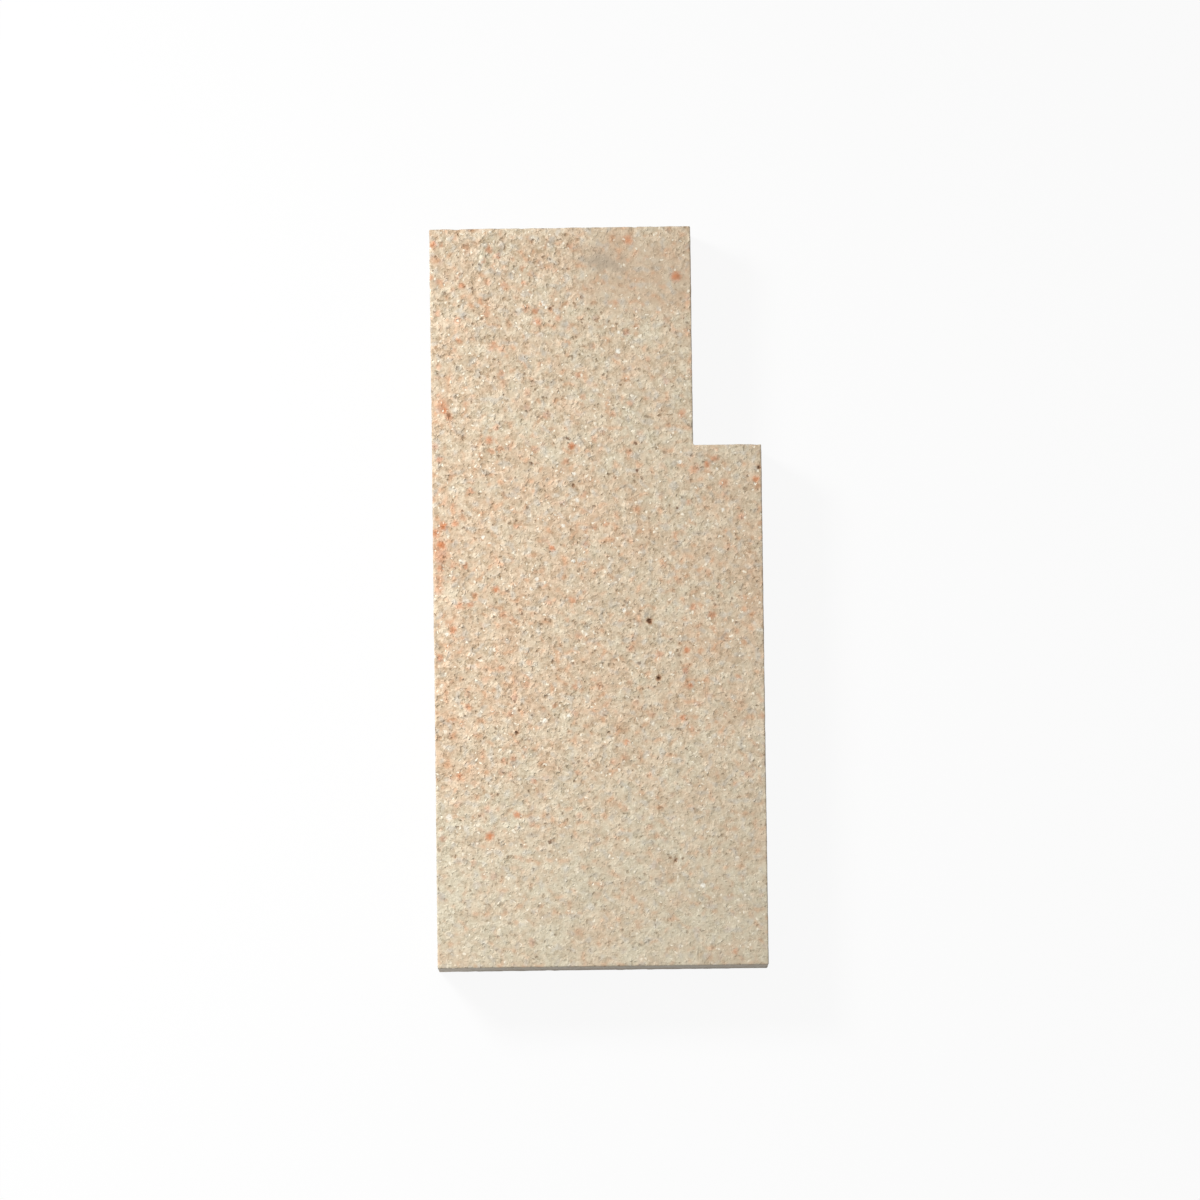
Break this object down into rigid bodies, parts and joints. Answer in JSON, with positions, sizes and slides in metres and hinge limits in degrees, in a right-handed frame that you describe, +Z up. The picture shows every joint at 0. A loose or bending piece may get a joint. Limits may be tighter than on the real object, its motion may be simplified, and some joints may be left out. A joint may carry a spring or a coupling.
{
  "type": "refractory firebrick",
  "caption": "Flat fireclay brick with a rectangular notch through a corner, used to line the firebox of a stove, fireplace or kiln.",
  "frame": {"origin": "on the bed face, at the centre of the brick's full rectangle", "axes": "+X across the width towards the notched side, +Y along the length towards the notched end, +Z up through the thickness"},
  "size_m": [0.102, 0.229, 0.025],
  "materials": {
    "fireclay": "matte"
  },
  "bodies": {
    "root": {"firebrick": "fireclay"}
  },
  "joints": []
}
